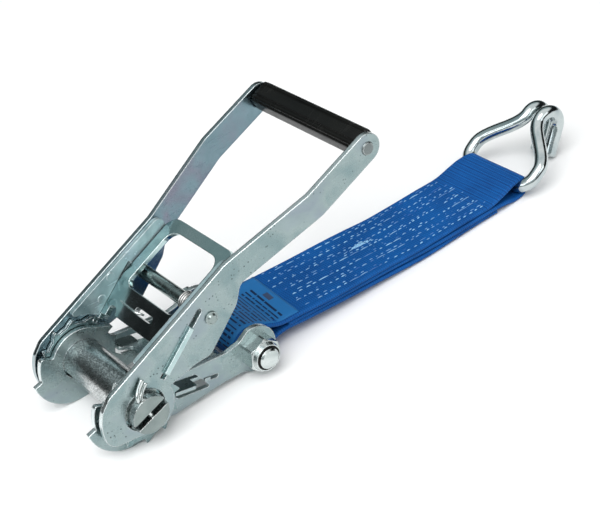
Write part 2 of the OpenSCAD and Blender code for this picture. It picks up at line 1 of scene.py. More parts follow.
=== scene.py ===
"""Looks of a 50 mm ratchet tie down: zinc plated buckle, folded and sewn webbing, claw hook."""

import json
import math
import random

import bpy
import numpy as np
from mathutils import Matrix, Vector


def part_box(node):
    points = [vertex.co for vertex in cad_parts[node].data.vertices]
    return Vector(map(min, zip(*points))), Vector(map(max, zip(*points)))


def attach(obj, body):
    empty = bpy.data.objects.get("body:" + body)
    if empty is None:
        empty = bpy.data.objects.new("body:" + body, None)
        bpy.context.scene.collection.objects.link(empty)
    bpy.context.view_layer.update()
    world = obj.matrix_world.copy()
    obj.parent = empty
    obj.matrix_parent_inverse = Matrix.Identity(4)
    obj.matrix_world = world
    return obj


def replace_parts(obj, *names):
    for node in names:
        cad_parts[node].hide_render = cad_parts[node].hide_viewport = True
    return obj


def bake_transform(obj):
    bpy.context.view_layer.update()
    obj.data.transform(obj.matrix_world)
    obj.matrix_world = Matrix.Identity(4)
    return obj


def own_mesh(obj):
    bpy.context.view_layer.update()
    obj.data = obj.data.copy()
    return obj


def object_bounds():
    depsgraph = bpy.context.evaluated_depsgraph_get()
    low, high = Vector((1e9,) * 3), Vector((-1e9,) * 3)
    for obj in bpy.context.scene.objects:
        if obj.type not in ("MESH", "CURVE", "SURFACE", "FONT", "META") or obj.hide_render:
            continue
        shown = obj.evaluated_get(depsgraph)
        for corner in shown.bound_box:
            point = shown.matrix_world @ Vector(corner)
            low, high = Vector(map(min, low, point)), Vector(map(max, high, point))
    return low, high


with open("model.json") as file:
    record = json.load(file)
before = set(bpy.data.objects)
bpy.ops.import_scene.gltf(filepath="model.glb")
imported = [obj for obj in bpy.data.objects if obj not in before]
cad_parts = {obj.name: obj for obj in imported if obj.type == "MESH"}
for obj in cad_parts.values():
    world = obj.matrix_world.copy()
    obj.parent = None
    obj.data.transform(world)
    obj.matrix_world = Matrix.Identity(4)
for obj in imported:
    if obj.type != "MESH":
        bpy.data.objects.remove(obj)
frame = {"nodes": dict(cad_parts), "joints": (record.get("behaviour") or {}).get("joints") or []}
CAD_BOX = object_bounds()

MM = 0.001
NODES = frame["nodes"]
PIVOT = {j["name"]: Vector(j["pos_m"]) for j in frame["joints"] if j["type"] == "hinge"}
SLIDE = {j["name"]: Vector(j["axis"]) for j in frame["joints"] if j["type"] == "slide"}
DRUM = PIVOT["drum_spin"]
BOLT = PIVOT["strap_swing"]
FLEX = PIVOT["strap_flex"]
BAIL = PIVOT["hook_swing"]
LEVER_WAY = SLIDE["release_lever_slide"]
PAWL_WAY = SLIDE["lock_pawl_slide"]


# ---------- small tools ----------

BEVEL_SAMPLES = 6
END_CHAMFER = 0.12


class Nodes:
    """The node tree of a material or a world, with short calls to add and join nodes."""

    def __init__(self, owner):
        owner.use_nodes = True
        self.tree = owner.node_tree

    def add(self, kind, values=None, **settings):
        node = self.tree.nodes.new(kind)
        for key, value in settings.items():
            setattr(node, key, value)
        for key, value in (values or {}).items():
            if isinstance(value, bpy.types.NodeSocket):
                self.tree.links.new(value, node.inputs[key])
            else:
                node.inputs[key].default_value = value
        return node

    def math(self, operation, first, second=0.0, clamp=False):
        values = {0: first, 1: second}
        return self.add("ShaderNodeMath", values, operation=operation, use_clamp=clamp).outputs[0]

    def range(self, value, low, high, out_low=0.0, out_high=1.0):
        node = self.add("ShaderNodeMapRange", {0: value, 1: low, 2: high, 3: out_low, 4: out_high})
        return node.outputs[0]

    def mix(self, share, first, second):
        """A colour between two others, each a socket or plain red, green and blue."""
        first, second = (colour if isinstance(colour, bpy.types.NodeSocket) else (*colour, 1)
                         for colour in (first, second))
        return self.add("ShaderNodeMix", {0: share, 6: first, 7: second}, data_type="RGBA").outputs[2]

    def ramp(self, value, stops):
        node = self.add("ShaderNodeValToRGB", {0: value})
        ramp = node.color_ramp
        while len(ramp.elements) < len(stops):
            ramp.elements.new(0.5)
        for element, (position, colour) in zip(ramp.elements, stops):
            element.position = position
            element.color = (*colour, 1)
        return node.outputs[0]


class Surface(Nodes):
    """A material's nodes round its one Principled BSDF shader."""

    def __init__(self, name):
        self.material = bpy.data.materials.new(name)
        super().__init__(self.material)
        self.shader = self.tree.nodes["Principled BSDF"]

    def where(self):
        """The place on the object, in metres."""
        return self.add("ShaderNodeTexCoord").outputs["Object"]

    def flat_place(self):
        """The place on the flat band: along it, across it and both together, in metres."""
        uv = self.add("ShaderNodeUVMap", uv_map="UVMap").outputs[0]
        split = self.add("ShaderNodeSeparateXYZ", {0: uv})
        return split.outputs[0], split.outputs[1], uv

    def sideways(self, vector):
        """The vector's part along the drum's axis, which is y."""
        return self.add("ShaderNodeSeparateXYZ", {0: vector}).outputs[1]

    def dot(self, first, second):
        node = self.add("ShaderNodeVectorMath", {0: first, 1: second}, operation="DOT_PRODUCT")
        return node.outputs["Value"]

    def wave(self, value, pitch):
        return self.math("SINE", self.math("MULTIPLY", value, 2 * math.pi / pitch))

    def noise(self, where, scale, detail=2.0, roughness=0.5, stretch=None, distortion=0.0):
        if stretch:
            where = self.add("ShaderNodeMapping", {"Vector": where, "Scale": stretch}).outputs[0]
        node = self.add("ShaderNodeTexNoise", {"Vector": where, "Scale": scale, "Detail": detail,
                                               "Roughness": roughness, "Distortion": distortion})
        return node.outputs[0]

    def cells(self, where, scale):
        """Distance to the nearest of many scattered points, for specks and pits."""
        node = self.add("ShaderNodeTexVoronoi", {"Vector": where, "Scale": scale, "Randomness": 1.0})
        return node.outputs["Distance"]

    def plain_normal(self):
        return self.add("ShaderNodeNewGeometry").outputs["Normal"]

    def rounded_normal(self, radius):
        return self.add("ShaderNodeBevel", {"Radius": radius}, samples=BEVEL_SAMPLES).outputs[0]

    def edge(self, rounded):
        """1 on an edge, where the rounded normal leaves the plain one, and 0 on a flat face."""
        return self.range(self.dot(rounded, self.plain_normal()), 0.995, 0.88)

    def bump(self, height, strength, distance, normal=None):
        values = {"Height": height, "Strength": strength, "Distance": distance}
        if normal is not None:
            values["Normal"] = normal
        return self.add("ShaderNodeBump", values).outputs[0]

    def set(self, **values):
        """Sets or links the shader's sockets, named with _ for each space."""
        for key, value in values.items():
            socket = self.shader.inputs[key.replace("_", " ")]
            if isinstance(value, bpy.types.NodeSocket):
                self.tree.links.new(value, socket)
            else:
                socket.default_value = value


def directions(path):
    """Unit vectors along a path, one for each of its points."""
    ahead = np.gradient(path, axis=0)
    return ahead / np.linalg.norm(ahead, axis=1)[:, None]


def add_mesh(name, points, faces, material, smooth=True):
    """A new piece of the model, made of the given points and faces."""
    mesh = bpy.data.meshes.new(name)
    mesh.from_pydata([tuple(p) for p in points], [], faces)
    mesh.validate()
    if smooth:
        mesh.polygons.foreach_set("use_smooth", [True] * len(mesh.polygons))
    piece = bpy.data.objects.new(name, mesh)
    bpy.context.scene.collection.objects.link(piece)
    mesh.materials.append(material)
    return piece


def set_values(piece, name, values):
    """One number for each point of a piece, which its material reads by name."""
    layer = piece.data.attributes.new(name, "FLOAT", "POINT")
    layer.data.foreach_set("value", np.array(values, np.float32))


def set_uv(piece, uvs):
    """The piece's UV map, from one place on the flat band for each of its points."""
    layer = piece.data.uv_layers.new(name="UVMap")
    corner = np.zeros(len(piece.data.loops), np.int32)
    piece.data.loops.foreach_get("vertex_index", corner)
    layer.data.foreach_set("uv", np.array(uvs, np.float32)[corner].ravel())


def grid_faces(rows, columns, closed_columns=True, first=0):
    """Quads between rows of points, each row a closed ring or an open line."""
    faces = []
    last = columns if closed_columns else columns - 1
    for i in range(rows - 1):
        for k in range(last):
            a = first + i * columns + k
            b = first + i * columns + (k + 1) % columns
            faces.append((a, b, b + columns, a + columns))
    return faces


def smooth_path(points, spacing):
    """Points a fixed distance apart along a smooth curve through the given ones."""
    p = np.array([tuple(q) for q in points], float)
    p = np.vstack([2 * p[0] - p[1], p, 2 * p[-1] - p[-2]])
    fine, fine_steps = [], 24
    for a, b, c, d in zip(p[:-3], p[1:-2], p[2:-1], p[3:]):
        # centripetal spacing keeps close points from looping
        t0 = 0.0
        t1 = t0 + max(1e-9, np.linalg.norm(b - a)) ** 0.5
        t2 = t1 + max(1e-9, np.linalg.norm(c - b)) ** 0.5
        t3 = t2 + max(1e-9, np.linalg.norm(d - c)) ** 0.5
        for t in np.linspace(t1, t2, fine_steps, endpoint=False):
            ab = (t1 - t) / (t1 - t0) * a + (t - t0) / (t1 - t0) * b
            bc = (t2 - t) / (t2 - t1) * b + (t - t1) / (t2 - t1) * c
            cd = (t3 - t) / (t3 - t2) * c + (t - t2) / (t3 - t2) * d
            abc = (t2 - t) / (t2 - t0) * ab + (t - t0) / (t2 - t0) * bc
            bcd = (t3 - t) / (t3 - t1) * bc + (t - t1) / (t3 - t1) * cd
            fine.append((t2 - t) / (t2 - t1) * abc + (t - t1) / (t2 - t1) * bcd)
    fine.append(p[-2])
    fine = np.array(fine)
    along = np.concatenate([[0], np.cumsum(np.linalg.norm(np.diff(fine, axis=0), axis=1))])
    count = max(2, int(round(along[-1] / spacing)) + 1)
    at = np.linspace(0, along[-1], count)
    return np.stack([np.interp(at, along, fine[:, i]) for i in range(3)], 1), at


def tube(name, path, radius, sides, material):
    """A round wire along a path, with chamfered flat ends."""
    path = np.array(path, float)
    ahead = directions(path)
    side = np.cross(ahead[0], (0.3, 0.9, 0.31))
    points = []
    for i, centre in enumerate(path):
        side = side - (side @ ahead[i]) * ahead[i]
        side /= np.linalg.norm(side)
        other = np.cross(ahead[i], side)
        for k in range(sides):
            turn = 2 * math.pi * k / sides
            points.append(centre + radius * (math.cos(turn) * side + math.sin(turn) * other))
    faces = grid_faces(len(path), sides)
    chamfer = END_CHAMFER * radius
    for end, sign in ((0, -1), (len(path) - 1, 1)):
        ring = [points[end * sides + k] for k in range(sides)]
        tip = path[end] + sign * ahead[end] * chamfer
        first = len(points)
        points += [tip + (p - path[end]) * (1 - chamfer / radius) for p in ring]
        points.append(tip)
        centre = len(points) - 1
        for k in range(sides):
            n = (k + 1) % sides
            a, b = end * sides + k, end * sides + n
            quad = (a, b, first + n, first + k)
            cap = (first + k, first + n, centre)
            faces.append(quad if sign > 0 else quad[::-1])
            faces.append(cap if sign > 0 else cap[::-1])
    piece = add_mesh(name, points, faces, material)
    for face in piece.data.polygons:
        if len(face.vertices) == 3:
            face.use_smooth = False
    return piece


# ---------- materials ----------

# colour of the painted highlight that zinc lays on rounded edges
PAINTED_EDGE_HIGHLIGHT = (0.86, 0.90, 0.90)
SOFT_STEP = 0.2 * MM


def zinc(name, dark, light, tint, rough=(0.2, 0.38), grain=0.06, specks=0.35, bevel=0.45, stretch=None,
         metal=1.0, dull_from=None, cut=0.0):
    """Zinc plated steel: mottled blue-white colour, fine grain, faint scratches, dark specks, painted
    highlights on edges.
    Farther than dull_from from the middle, to either side, it is darker. Faces that don't look sideways,
    such as the cut edges of the plates, get a painted highlight as strong as cut."""
    m = Surface(name)
    where = m.where()
    cloud = m.noise(where, 38, 3, 0.55, distortion=0.6)
    fine = m.noise(where, 900, 3, 0.6, stretch=stretch)
    streak = m.noise(where, 120, 4, 0.6, stretch=(0.35, 3.0, 0.9), distortion=0.3)
    colour = m.ramp(cloud, [(0.32, dark), (0.5, light), (0.7, tint)])
    colour = m.mix(m.range(streak, 0.35, 0.75, 0.0, 0.30), colour, tuple(0.8 * c for c in dark))
    spot = m.range(m.cells(where, 420), 0.12, 0.23, 1.0, 0.0)
    spot = m.math("MULTIPLY", spot, m.range(m.noise(where, 70, 2), 0.50, 0.60))
    colour = m.mix(m.math("MULTIPLY", spot, specks), colour, (0.05, 0.07, 0.07))
    rounded = m.rounded_normal(bevel * MM)
    edge = m.edge(rounded)
    # painted highlight: the rounded edges are lightened towards a near white
    colour = m.mix(m.math("MULTIPLY", edge, 0.55), colour, PAINTED_EDGE_HIGHLIGHT)
    # painted highlight: faces that don't look sideways, such as the plates' cut faces, are lightened by cut
    if cut:
        side = m.math("ABSOLUTE", m.sideways(m.plain_normal()))
        colour = m.mix(m.range(side, 0.5, 0.3, 0.0, cut), colour, (0.86, 0.92, 0.92))
    if dull_from:
        level = m.math("ABSOLUTE", m.sideways(where))
        dull = m.range(level, dull_from - SOFT_STEP, dull_from + SOFT_STEP, 0.0, 0.6)
        colour = m.mix(dull, colour, dark)
    scratch = m.range(m.noise(where, 260, 2, 0.5, stretch=(0.12, 2.5, 1.8)), 0.60, 0.72)
    roughness = m.range(m.math("ADD", m.math("MULTIPLY", cloud, 0.6), m.math("MULTIPLY", fine, 0.4)),
                        0.3, 0.7, rough[0], rough[1])
    roughness = m.math("ADD", roughness, m.math("MULTIPLY", scratch, 0.10))
    roughness = m.math("SUBTRACT", roughness, m.math("MULTIPLY", edge, 0.05), clamp=True)
    height = m.math("ADD", m.math("MULTIPLY", fine, 0.5), m.math("MULTIPLY", scratch, -0.4))
    normal = m.bump(height, grain, 0.3 * MM, rounded)
    normal = m.bump(cloud, 0.05, 2.0 * MM, normal)
    m.set(Base_Color=colour, Metallic=metal, Roughness=roughness, Normal=normal)
    return m.material


def bright_wire(name):
    """Smooth bright zinc on cold drawn wire: nearly mirror-like, with long faint draw marks."""
    m = Surface(name)
    where = m.where()
    cloud = m.noise(where, 60, 3, 0.5)
    lines = m.noise(where, 300, 3, 0.6, stretch=(0.25, 0.6, 2.4))
    colour = m.ramp(cloud, [(0.3, (0.34, 0.41, 0.43)), (0.5, (0.56, 0.61, 0.61)), (0.7, (0.38, 0.45, 0.48))])
    pit = m.range(m.cells(where, 330), 0.08, 0.2, 1.0, 0.0)
    pit = m.math("MULTIPLY", pit, m.range(cloud, 0.52, 0.62))
    colour = m.mix(m.math("MULTIPLY", pit, 0.5), colour, (0.25, 0.24, 0.22))
    roughness = m.range(lines, 0.3, 0.7, 0.07, 0.17)
    roughness = m.math("ADD", roughness, m.math("MULTIPLY", pit, 0.2))
    normal = m.bump(lines, 0.10, 0.25 * MM)
    normal = m.bump(cloud, 0.18, 1.5 * MM, normal)
    m.set(Base_Color=colour, Metallic=1.0, Roughness=roughness, Normal=normal)
    return m.material


def drum_steel(name):
    """The drum's satin turned surface, with strong grain along the shaft, and its smooth sawn ends."""
    m = Surface(name)
    where = m.where()
    grain = m.noise(where, 1200, 4, 0.7, stretch=(1.3, 0.7, 1.3))
    cloud = m.noise(where, 90, 3, 0.5, stretch=(1.0, 0.5, 1.0))
    rounded = m.rounded_normal(0.5 * MM)
    end = m.range(m.math("ABSOLUTE", m.sideways(rounded)), 0.80, 0.97)
    turned_stops = [(0.36, (0.20, 0.21, 0.21)), (0.50, (0.52, 0.54, 0.54)), (0.62, (0.90, 0.92, 0.91))]
    colour = m.ramp(grain, turned_stops)
    colour = m.mix(m.range(cloud, 0.45, 0.7, 0.0, 0.25), colour, (0.30, 0.35, 0.36))
    end_stops = [(0.3, (0.20, 0.24, 0.24)), (0.55, (0.27, 0.32, 0.31)), (0.8, (0.33, 0.36, 0.36))]
    end_colour = m.ramp(cloud, end_stops)
    colour = m.mix(end, colour, end_colour)
    height = m.math("MULTIPLY", grain, m.math("SUBTRACT", 1.0, m.math("MULTIPLY", end, 0.8)))
    normal = m.bump(height, 0.20, 0.30 * MM, rounded)
    m.set(Base_Color=colour, Metallic=1.0, Roughness=m.range(cloud, 0.3, 0.7, 0.16, 0.28), Normal=normal)
    return m.material


def lever_steel(name):
    """The release lever: smooth bright plating, with a painted dark reflection over the middle and near side
    of its web.
    """
    m = Surface(name)
    where = m.where()
    cloud = m.noise(where, 45, 3, 0.55, distortion=0.5)
    along = m.math("SUBTRACT", m.dot(where, tuple(LEVER_WAY)), DRUM.dot(LEVER_WAY))
    along = m.math("ADD", along, m.math("MULTIPLY", cloud, 2.0 * MM))
    across = m.math("ADD", m.sideways(where), m.math("MULTIPLY", cloud, 3.0 * MM))
    # painted reflection: the web's middle and near side get dark colours that stand in for the dark
    # surroundings it reflects
    web = m.math("MULTIPLY", m.range(along, 49.0 * MM, 46.8 * MM), m.range(across, 18.6 * MM, 17.0 * MM))
    web = m.math("MULTIPLY", web, m.range(across, -29.0 * MM, -26.0 * MM))
    fine = m.noise(where, 800, 3, 0.6)
    upper_stops = [(0.3, (0.36, 0.50, 0.51)), (0.5, (0.48, 0.62, 0.62)), (0.72, (0.56, 0.68, 0.68))]
    dark_reflection_stops = [(0.3, (0.16, 0.17, 0.18)), (0.55, (0.26, 0.27, 0.28)), (0.8, (0.36, 0.38, 0.38))]
    colour = m.mix(web, m.ramp(cloud, upper_stops), m.ramp(cloud, dark_reflection_stops))
    side = m.math("ABSOLUTE", m.sideways(where))
    # painted contact shadow: a thin dark line along both sides of the lever, where it lies next to the
    # doublers
    contact_shadow = m.math("MULTIPLY", m.range(side, 28.9 * MM, 29.5 * MM), m.range(side, 30.6 * MM, 30.2 * MM))
    contact_shadow = m.math("MULTIPLY", contact_shadow, m.range(along, 46.0 * MM, 49.0 * MM))
    colour = m.mix(m.math("MULTIPLY", contact_shadow, 0.9), colour, (0.015, 0.022, 0.024))
    rounded = m.rounded_normal(0.6 * MM)
    # painted highlight: the rounded edges are lightened towards a near white
    colour = m.mix(m.math("MULTIPLY", m.edge(rounded), 0.7), colour, (0.84, 0.88, 0.88))
    normal = m.bump(fine, 0.03, 0.3 * MM, rounded)
    m.set(Base_Color=colour, Metallic=1.0, Roughness=m.range(cloud, 0.3, 0.7, 0.12, 0.22), Normal=normal)
    return m.material


def spring_wire(name):
    """Plain drawn spring steel, unevenly grey."""
    m = Surface(name)
    where = m.where()
    cloud = m.noise(where, 400, 2)
    colour = m.ramp(cloud, [(0.3, (0.30, 0.30, 0.30)), (0.7, (0.62, 0.62, 0.60))])
    m.set(Base_Color=colour, Metallic=1.0, Roughness=m.range(cloud, 0.3, 0.7, 0.22, 0.4),
          Normal=m.bump(cloud, 0.15, 0.1 * MM))
    return m.material


def moulded_black(name, rough=(0.17, 0.32), grain=0.05):
    """Black moulded plastic with a faint flow pattern, dust and light rubbing."""
    m = Surface(name)
    where = m.where()
    flow = m.noise(where, 55, 4, 0.6, stretch=(1.0, 0.3, 1.0))
    fine = m.noise(where, 1400, 2)
    rub = m.range(m.noise(where, 160, 3, 0.6, stretch=(0.4, 2.0, 1.0)), 0.58, 0.75)
    colour = m.ramp(flow, [(0.3, (0.003, 0.003, 0.003)), (0.7, (0.009, 0.009, 0.008))])
    colour = m.mix(m.math("MULTIPLY", rub, 0.15), colour, (0.05, 0.05, 0.048))
    roughness = m.math("ADD", m.range(flow, 0.3, 0.7, rough[0], rough[1]), m.math("MULTIPLY", rub, 0.12))
    normal = m.bump(fine, grain, 0.15 * MM)
    normal = m.bump(flow, 0.06, 1.0 * MM, normal)
    m.set(Base_Color=colour, Roughness=roughness, Normal=normal, IOR=1.42, Specular_IOR_Level=0.24)
    return m.material


def woven(name, deep, bright):
    """Woven polyester: warp ribs along the band, a weft beat across it, worn lighter crowns, soft sheen.
    Its UV map is in metres: x along the band, y across it. The ribbed attribute deepens the cross ribs."""
    m = Surface(name)
    along, across, uv = m.flat_place()
    where = m.where()
    beat, warp, twill = 1.5 * MM, 1.25 * MM, 1.9 * MM
    wobble = m.noise(uv, 90, 2)
    along_w = m.math("ADD", along, m.math("MULTIPLY", wobble, 0.5 * MM))
    weft = m.wave(along_w, beat)
    pair = m.wave(across, warp)
    diagonal = m.math("SINE", m.math("ADD", m.math("MULTIPLY", along_w, 2 * math.pi / (0.75 * beat)),
                                     m.math("MULTIPLY", across, 2 * math.pi / twill)))
    weave = m.math("ADD", m.math("MULTIPLY", weft, 0.5), m.math("MULTIPLY", pair, 0.22))
    weave = m.math("ADD", weave, m.math("MULTIPLY", diagonal, 0.28))
    ribbed = m.add("ShaderNodeAttribute", attribute_name="ribbed").outputs["Fac"]
    bend = m.noise(uv, 60, 2)
    crest = m.math("SINE", m.math("ADD", m.math("MULTIPLY", along, 2 * math.pi / (2.35 * MM)),
                                  m.math("MULTIPLY", bend, 3.0)))
    crest = m.math("MULTIPLY", crest, m.range(bend, 0.35, 0.6, 0.5, 1.0))
    crest = m.math("MULTIPLY", crest, m.range(ribbed, 0.0, 1.0, 0.16, 1.0))
    fibre = m.noise(uv, 2600, 2, 0.6, stretch=(1.0, 0.35, 1.0))
    blotch = m.noise(where, 45, 3, 0.55)
    tone = m.math("ADD", m.range(weave, -1.0, 1.0, 0.15, 0.85), m.range(fibre, 0.3, 0.7, -0.15, 0.15))
    tone = m.math("ADD", tone, m.range(blotch, 0.3, 0.7, -0.16, 0.16))
    tone = m.math("ADD", tone, m.math("MULTIPLY", crest, 0.17), clamp=True)
    colour = m.mix(tone, deep, bright)
    rub = m.range(m.noise(where, 240, 4, 0.7, stretch=(0.6, 2.2, 1.0)), 0.62, 0.80)
    colour = m.mix(m.math("MULTIPLY", rub, 0.14), colour, (0.03, 0.23, 0.55))
    height = m.math("ADD", weave, m.math("MULTIPLY", fibre, 0.35))
    normal = m.bump(height, 0.42, 0.22 * MM)
    normal = m.bump(crest, 0.35, 0.30 * MM, normal)
    m.set(Base_Color=colour, Roughness=m.range(tone, 0.0, 1.0, 0.78, 0.55), Normal=normal)
    m.set(Sheen_Weight=0.06, Sheen_Roughness=0.40, Sheen_Tint=(0.20, 0.50, 1.0, 1), Specular_IOR_Level=0.22)
    return m.material


def thread(name):
    """Pale sewing thread; the tone attribute makes some stitches whiter than others."""
    m = Surface(name)
    where = m.where()
    tone = m.add("ShaderNodeAttribute", attribute_name="tone").outputs["Fac"]
    twist = m.noise(where, 2200, 2, 0.6)
    colour = m.mix(tone, (0.008, 0.090, 0.34), (0.34, 0.64, 0.86))
    colour = m.mix(m.range(twist, 0.4, 0.7, 0.0, 0.35), colour, (0.06, 0.22, 0.60))
    m.set(Base_Color=colour, Roughness=m.range(twist, 0.3, 0.7, 0.45, 0.7), Sheen_Weight=0.1,
          Normal=m.bump(twist, 0.5, 0.1 * MM))
    return m.material


def printed_label(name, length, width):
    """Light blue woven label with rows of plain dark bars and one plain block, and no lettering."""
    m = Surface(name)
    along, across, uv = m.flat_place()
    weave, cross = m.wave(along, 0.45 * MM), m.wave(across, 0.6 * MM)
    fibre = m.noise(uv, 1800, 2)
    tone = m.math("ADD", m.range(m.math("MULTIPLY", weave, cross), -1.0, 1.0, 0.3, 0.7),
                  m.range(fibre, 0.3, 0.7, -0.2, 0.2), clamp=True)
    colour = m.mix(tone, (0.010, 0.115, 0.330), (0.024, 0.185, 0.470))
    slanted = m.math("ADD", along, m.math("MULTIPLY", across, -0.035))
    row_pitch, row_gap = 2.9 * MM, 0.28
    position = m.math("DIVIDE", slanted, row_pitch)
    row, index = m.math("FRACT", position), m.math("FLOOR", position)
    chance = m.add("ShaderNodeTexWhiteNoise", {"W": index}, noise_dimensions="1D").outputs["Value"]
    thick = m.range(chance, 0.0, 1.0, 0.24, 0.50)
    bar = m.math("MULTIPLY", m.math("GREATER_THAN", row, row_gap),
                 m.math("LESS_THAN", row, m.math("ADD", thick, row_gap)))
    breaks = {0: m.math("MULTIPLY", index, 7.3), 1: m.math("MULTIPLY", across, 520)}
    gaps = m.noise(m.add("ShaderNodeCombineXYZ", breaks).outputs[0], 1.0, 0.0)
    bar = m.math("MULTIPLY", bar, m.math("GREATER_THAN", gaps, m.range(chance, 0.0, 0.3, 0.0, 0.40)))
    inside = m.math("MULTIPLY", m.math("GREATER_THAN", across, -0.44 * width),
                    m.math("LESS_THAN", across, 0.30 * width))
    inside = m.math("MULTIPLY", inside, m.math("LESS_THAN", slanted, length - 7.6 * MM))
    bar = m.math("MULTIPLY", bar, inside)
    block = m.math("MULTIPLY", m.math("GREATER_THAN", slanted, length - 6.6 * MM),
                   m.math("LESS_THAN", slanted, length - 3.0 * MM))
    block = m.math("MULTIPLY", block, m.math("GREATER_THAN", across, -3.0 * MM))
    block = m.math("MULTIPLY", block, m.math("LESS_THAN", across, 4.5 * MM))
    colour = m.mix(m.math("MULTIPLY", bar, 0.95), colour, (0.003, 0.012, 0.045))
    colour = m.mix(m.math("MULTIPLY", block, 0.80), colour, (0.045, 0.045, 0.070))
    normal = m.bump(tone, 0.25, 0.12 * MM)
    m.set(Base_Color=colour, Roughness=m.range(fibre, 0.3, 0.7, 0.42, 0.62), Normal=normal)
    m.set(Sheen_Weight=0.03, Specular_IOR_Level=0.20)
    return m.material


PLATE = zinc("zinc_plate", (0.24, 0.33, 0.34), (0.34, 0.42, 0.42), (0.31, 0.37, 0.41), specks=0.85,
             bevel=0.9, cut=0.8)
# painted shade: the left handle arm is the same plated steel as the right one, given darker, more purple
# colours and a weaker cut-face highlight
SHADED_LEFT_ARM = zinc("zinc_left_arm_painted_shade", (0.13, 0.21, 0.24), (0.20, 0.29, 0.33), (0.24, 0.24, 0.30),
                rough=(0.16, 0.30), bevel=0.9, cut=0.35)
FRAME_PLATE = zinc("zinc_frame", (0.22, 0.31, 0.32), (0.32, 0.40, 0.40), (0.29, 0.35, 0.39), bevel=0.9,
                   cut=0.8)
# painted light: the doublers get lighter colours and less metal than the rest of the plating, so that they
# look lit where they sit in shade between the arms
LIT_INNER_PLATE = zinc("zinc_inner_painted_light", (0.22, 0.33, 0.35), (0.48, 0.62, 0.64), (0.42, 0.52, 0.58),
                   rough=(0.16, 0.30), metal=0.55)
WHEEL = zinc("zinc_wheel", (0.10, 0.16, 0.17), (0.22, 0.32, 0.33), (0.34, 0.42, 0.42), rough=(0.2, 0.34),
             cut=0.7)
FASTENER = zinc("zinc_fastener", (0.46, 0.52, 0.51), (0.72, 0.77, 0.76), (0.62, 0.67, 0.67),
                rough=(0.12, 0.26), specks=0.5, bevel=0.35)
RIVET = zinc("zinc_rivet", (0.14, 0.16, 0.16), (0.22, 0.25, 0.25), (0.18, 0.20, 0.20), rough=(0.2, 0.36),
             bevel=0.7)
ROD = zinc("zinc_rod", (0.26, 0.32, 0.31), (0.40, 0.46, 0.45), (0.34, 0.39, 0.38), rough=(0.16, 0.30),
           dull_from=36 * MM, grain=0.16, stretch=(2.0, 0.3, 2.0))
DRUM_STEEL = drum_steel("drum_steel")
LEVER = lever_steel("lever_steel")
PAWL = zinc("zinc_pawl", (0.22, 0.30, 0.30), (0.40, 0.50, 0.50), (0.36, 0.42, 0.44), rough=(0.2, 0.34))
WIRE = bright_wire("bright_wire")
SPRING = spring_wire("spring_wire")
BLACK = moulded_black("black_grip")
NYLON = moulded_black("nylon_insert", rough=(0.4, 0.55), grain=0.1)
WEB = woven("woven_web", (0.0010, 0.032, 0.150), (0.002, 0.118, 0.420))
THREAD = thread("sewing_thread")

FINISH = {
    "frame_plate": FRAME_PLATE, "handle_arm": PLATE, "handle_arm_left": SHADED_LEFT_ARM, "doubler": LIT_INNER_PLATE,
    "ratchet_wheel": WHEEL, "end_bolt": FASTENER, "lock_nut": FASTENER, "bolt_sleeve": FASTENER,
    "split_pin": FASTENER, "cross_rod": ROD, "grip_rod": RIVET, "half_shaft": DRUM_STEEL,
    "release_lever": LEVER, "cross_plate": PAWL, "lock_pawl": PAWL, "nut_insert": NYLON,
}
for node_name, node_object in NODES.items():
    for start, material in FINISH.items():
        if node_name.startswith(start):
            for material_slot in node_object.material_slots:
                material_slot.material = material


# ---------- hook ----------

HOOK_RISE = math.radians(33)
WIRE_RADIUS = 4.25 * MM
BAIL_HALF = 27.4 * MM
BAIL_CORNER = 9.5 * MM
LEG_LENGTH = 44.4 * MM
CROWN_RADIUS = 9.4 * MM
PRONG_HALF_GAP = 5.2 * MM
CROWN_START, CROWN_END = 123, -27
TIP_HEIGHT = 2.4 * MM
STRAIGHT_SHARE = 0.11


def hook_route():
    """The hook's centreline: half of it, then its mirror image."""
    leg = Vector((math.cos(HOOK_RISE), 0, math.sin(HOOK_RISE)))
    normal = Vector((math.sin(HOOK_RISE), 0, -math.cos(HOOK_RISE)))
    across = Vector((0, 1, 0))
    half = [BAIL + across * MM * level for level in (0, 6, 12)]
    for turn in range(0, 91, 10):
        a = math.radians(turn)
        half.append(BAIL + leg * BAIL_CORNER * (1 - math.cos(a))
                    + across * (BAIL_HALF - BAIL_CORNER * (1 - math.sin(a))))
    for step in range(1, 20):
        along = BAIL_CORNER + (LEG_LENGTH - BAIL_CORNER) * step / 20
        begin = BAIL_CORNER + STRAIGHT_SHARE * (LEG_LENGTH - BAIL_CORNER)
        share = min(1, max(0, (along - begin) / (LEG_LENGTH - begin)))
        ease = share * share * (3 - 2 * share)
        half.append(BAIL + leg * along + across * (BAIL_HALF + (PRONG_HALF_GAP - BAIL_HALF) * ease))
    centre = BAIL + leg * LEG_LENGTH + normal * CROWN_RADIUS
    for step in range(21):
        a = math.radians(CROWN_START + (CROWN_END - CROWN_START) * step / 20)
        spoke = Vector((math.cos(a), 0, math.sin(a)))
        half.append(centre + CROWN_RADIUS * spoke + across * PRONG_HALF_GAP)
    down = Vector((math.sin(math.radians(CROWN_END)), 0, -math.cos(math.radians(CROWN_END))))
    reach = (half[-1].z - TIP_HEIGHT) / math.cos(math.radians(CROWN_END)) - END_CHAMFER * WIRE_RADIUS
    half += [half[-1] + down * reach * share for share in (0.25, 0.5, 0.75, 1.0)]
    return [Vector((p.x, -p.y, p.z)) for p in reversed(half[1:])] + half


def make_hook():
    """The claw hook: one bright wire, bent to a bail and two prongs."""
    route, _ = smooth_path(hook_route(), 1.1 * MM)
    hook = tube("hook_wire", route, WIRE_RADIUS, 40, WIRE)
    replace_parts(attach(hook, "hook"), "claw_hook")


make_hook()


# ---------- springs ----------

